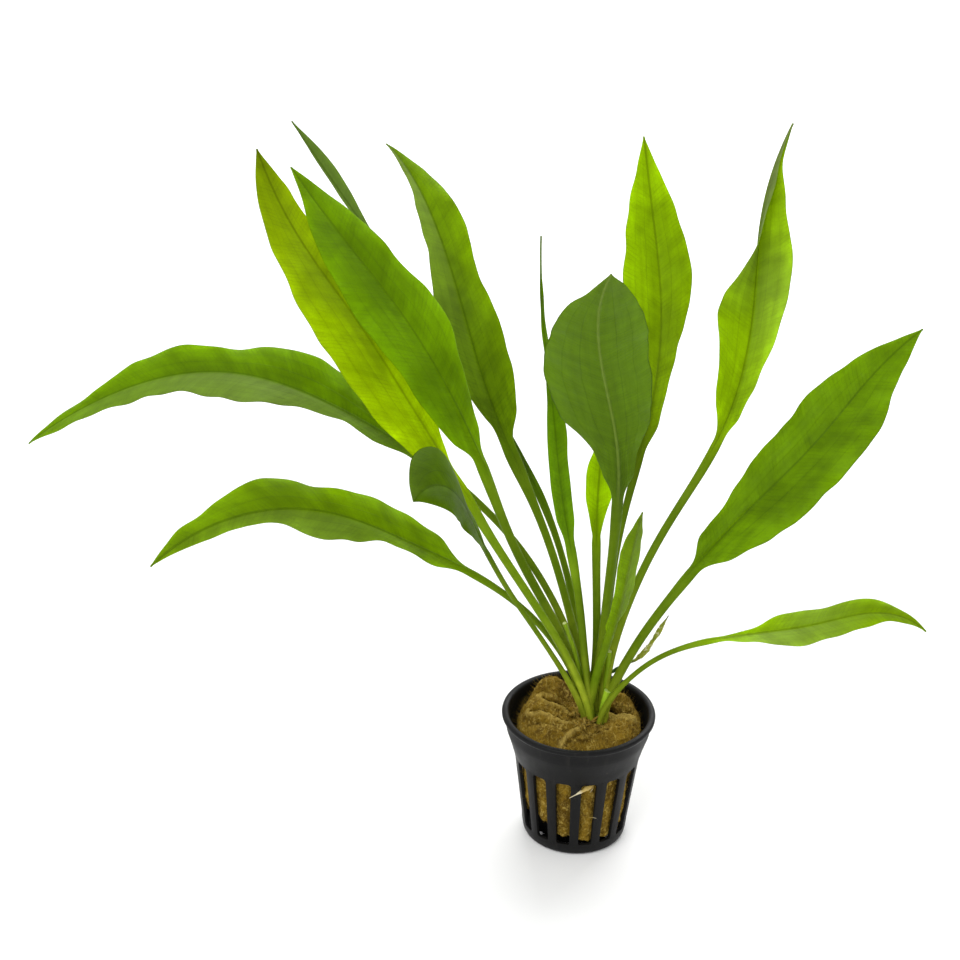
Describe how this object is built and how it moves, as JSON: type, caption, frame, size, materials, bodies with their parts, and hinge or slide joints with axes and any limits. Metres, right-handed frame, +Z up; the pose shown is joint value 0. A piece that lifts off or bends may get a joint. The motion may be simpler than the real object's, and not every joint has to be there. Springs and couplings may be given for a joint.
{
  "type": "potted amazon sword plant",
  "caption": "Young amazon sword plant: long lance-shaped green leaves on slim stalks fan out from a mineral wool plug in a small black slotted net pot; stands on its flat base.",
  "frame": {"origin": "centre of the underside of the pot, on the solid disc in the middle of its base", "axes": "+Z up; +X to the right and -Y towards the viewer of the front, so that most leaves reach towards -X; the longest extent lies along X"},
  "size_m": [0.3169, 0.2015, 0.2558],
  "materials": {
    "pot_plastic": "satin black moulded plastic with dust and fine scuffs",
    "mineral_wool": "damp golden-brown fibrous mineral wool",
    "leaf_stalk": "smooth fleshy green stalk, paler at the foot and at the cut ends",
    "deep_leaf": "satin mid-green leaf with paler midrib and fine veins",
    "light_leaf": "satin yellow-green leaf, light showing through, with fine veins",
    "dry_stalk": "withered straw-brown leaf on a thin dark stalk",
    "root": "pale straw-coloured root"
  },
  "bodies": {
    "root": {"net_pot": "pot_plastic", "rock_wool_plug": "mineral_wool", "crown": "leaf_stalk", "root_tip": "root", "dry_stalk": "dry_stalk", "cut_stalk_left": "leaf_stalk", "cut_stalk_right": "leaf_stalk", "cut_stalk_front": "leaf_stalk", "leaf_long_left": "deep_leaf", "leaf_low_left": "deep_leaf", "leaf_light_left": "light_leaf", "leaf_broad_left": "deep_leaf", "leaf_edge_on_left": "deep_leaf", "leaf_upright_left": "deep_leaf", "leaf_small_curled": "deep_leaf", "leaf_narrow": "deep_leaf", "leaf_front": "deep_leaf", "leaf_upright_right": "light_leaf", "leaf_twisted_right": "light_leaf", "leaf_broad_right": "deep_leaf", "leaf_low_right": "light_leaf", "leaf_young_rear": "light_leaf", "leaf_young_front": "light_leaf"}
  },
  "joints": []
}
